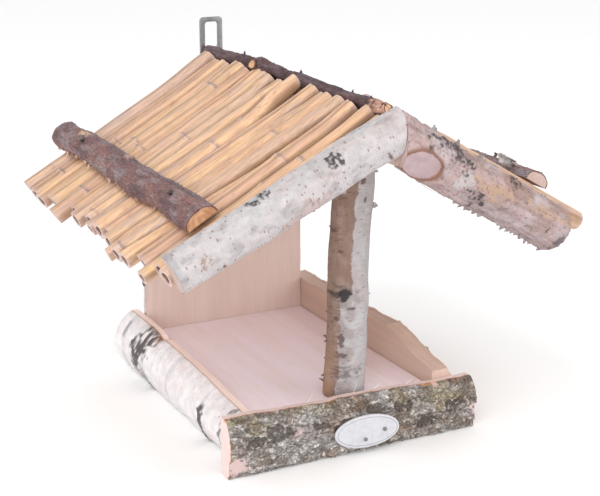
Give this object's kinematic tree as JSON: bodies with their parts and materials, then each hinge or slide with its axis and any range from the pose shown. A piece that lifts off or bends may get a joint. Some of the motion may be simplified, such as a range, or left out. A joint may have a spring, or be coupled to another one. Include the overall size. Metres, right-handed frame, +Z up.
{
  "type": "hanging bird feeder",
  "caption": "Rustic hanging bird feeder: an open waney-slab seed tray under a gabled reed roof on a back board and one branch post, with a slotted steel hanger plate.",
  "frame": {"origin": "on the surface under the middle of the bounding box, as the feeder stands on its slabs", "axes": "+Z up, -Y out of the open front with the label, +X to the right seen from the front, and the roof ridge lies along Y"},
  "size_m": [0.2211, 0.2141, 0.189],
  "materials": {
    "planed_wood": "pale sawn birch, unvarnished, fine straight grain",
    "birch_bark": "white birch bark with dark lenticels over tan sawn wood, matt to satin",
    "rough_bark": "rough grey-brown old bark with lichen, matt",
    "dark_bark": "purplish brown twig bark, matt, with pale specks",
    "reed_straw": "golden brown reed stems, satin, with darker node bands",
    "steel": "dull zinc plate",
    "label": "plain white oval plate, blank, satin"
  },
  "bodies": {
    "root": {"back_board": "birch_bark", "floor_board": "planed_wood", "front_post": "birch_bark", "front_slab": "rough_bark", "hanger_nail_lower": "steel", "hanger_nail_upper": "steel", "hanger_plate": "steel", "label_pin_left": "steel", "label_pin_right": "steel", "label_plate": "label", "left_barge": "birch_bark", "left_batten": "dark_bark", "left_batten_nail_1": "steel", "left_batten_nail_2": "steel", "left_reed_01": "reed_straw", "left_reed_02": "reed_straw", "left_reed_03": "reed_straw", "left_reed_04": "reed_straw", "left_reed_05": "reed_straw", "left_reed_06": "reed_straw", "left_reed_07": "reed_straw", "left_reed_08": "reed_straw", "left_reed_09": "reed_straw", "left_reed_10": "reed_straw", "left_reed_11": "reed_straw", "left_reed_12": "reed_straw", "left_reed_13": "reed_straw", "left_reed_14": "reed_straw", "left_reed_15": "reed_straw", "left_reed_16": "reed_straw", "left_reed_17": "reed_straw", "left_reed_18": "reed_straw", "left_reed_19": "reed_straw", "left_roof_board": "planed_wood", "left_side_slab": "birch_bark", "ridge_branch": "dark_bark", "right_barge": "birch_bark", "right_batten": "dark_bark", "right_batten_nail_1": "steel", "right_batten_nail_2": "steel", "right_reed_01": "reed_straw", "right_reed_02": "reed_straw", "right_reed_03": "reed_straw", "right_reed_04": "reed_straw", "right_reed_05": "reed_straw", "right_reed_06": "reed_straw", "right_reed_07": "reed_straw", "right_reed_08": "reed_straw", "right_reed_09": "reed_straw", "right_reed_10": "reed_straw", "right_reed_11": "reed_straw", "right_reed_12": "reed_straw", "right_reed_13": "reed_straw", "right_reed_14": "reed_straw", "right_reed_15": "reed_straw", "right_reed_16": "reed_straw", "right_reed_17": "reed_straw", "right_reed_18": "reed_straw", "right_roof_board": "planed_wood", "right_side_slab": "birch_bark"}
  },
  "joints": []
}
